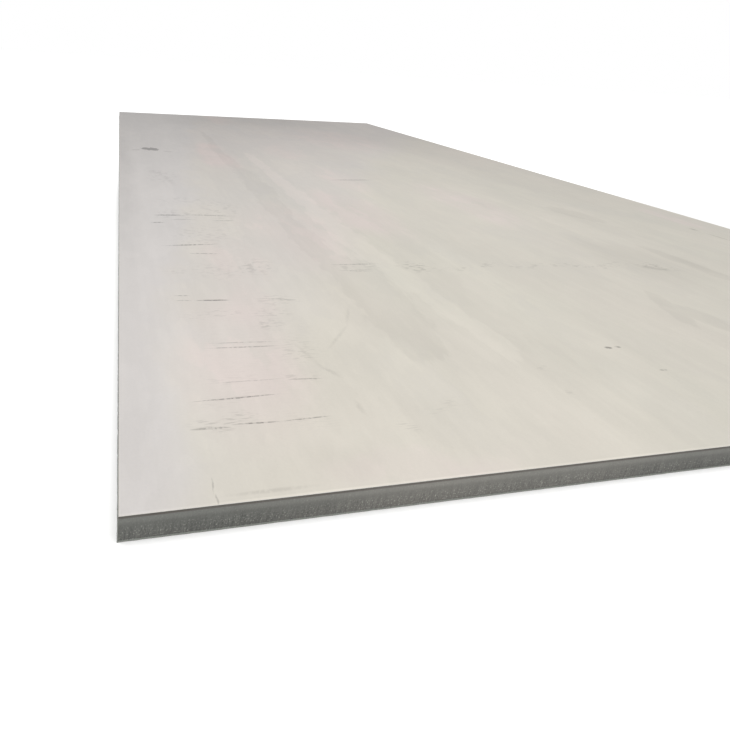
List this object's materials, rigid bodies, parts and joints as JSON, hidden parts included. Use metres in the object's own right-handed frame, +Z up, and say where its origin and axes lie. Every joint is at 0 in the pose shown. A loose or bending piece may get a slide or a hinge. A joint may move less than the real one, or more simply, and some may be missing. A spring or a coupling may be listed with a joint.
{
  "type": "steel plate",
  "caption": "Thick flat rectangular steel plate, hot rolled and pickled, with torch-cut sides that lean out towards the underside; raw stock for cutting, bending and welding.",
  "frame": {"origin": "middle of the underside", "axes": "+X along the length, +Y across the width, +Z up through the thickness"},
  "size_m": [6, 2.2, 0.032],
  "materials": {
    "pickled_steel": "hot rolled, annealed and pickled to a matt pale grey; sides torch-cut, darker, with fine upright drag lines"
  },
  "bodies": {
    "root": {"steel_plate": "pickled_steel"}
  },
  "joints": []
}
